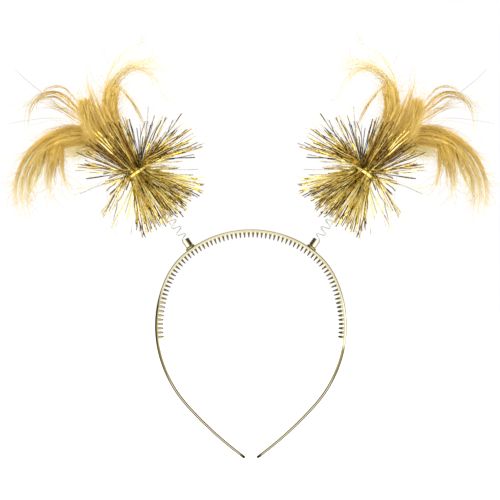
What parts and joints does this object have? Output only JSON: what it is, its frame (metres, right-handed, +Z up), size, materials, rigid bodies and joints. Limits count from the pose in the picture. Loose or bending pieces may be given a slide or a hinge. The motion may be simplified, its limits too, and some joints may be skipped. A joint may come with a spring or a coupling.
{
  "type": "tinsel headband",
  "caption": "Gold comb headband that carries a sprung burst of tinsel, tied at its waist and topped with arching feather plumes, over each side of the crown.",
  "frame": {"origin": "where the middle of the comb rests on the head: the tips of the teeth under the top of the crown", "axes": "+X across the head from side to side, +Y from the front to the back, +Z up, as worn"},
  "size_m": [0.3012, 0.08, 0.2662],
  "materials": {
    "plating": "moulded plastic with a bright pale gold metal plating",
    "spring_wire": "bright plated steel wire",
    "film": "metallised gold plastic film cut into narrow strips",
    "feather": "soft dyed feather, straw gold with paler tips"
  },
  "bodies": {
    "root": {"band": "plating", "socket_left": "plating", "socket_right": "plating", "spring_left": "spring_wire", "spring_right": "spring_wire", "tinsel_left": "film", "tinsel_right": "film", "tie_left": "film", "tie_right": "film", "outer_plume_left": "feather", "outer_plume_right": "feather", "middle_plume_left": "feather", "middle_plume_right": "feather", "inner_plume_left": "feather", "inner_plume_right": "feather"}
  },
  "joints": []
}
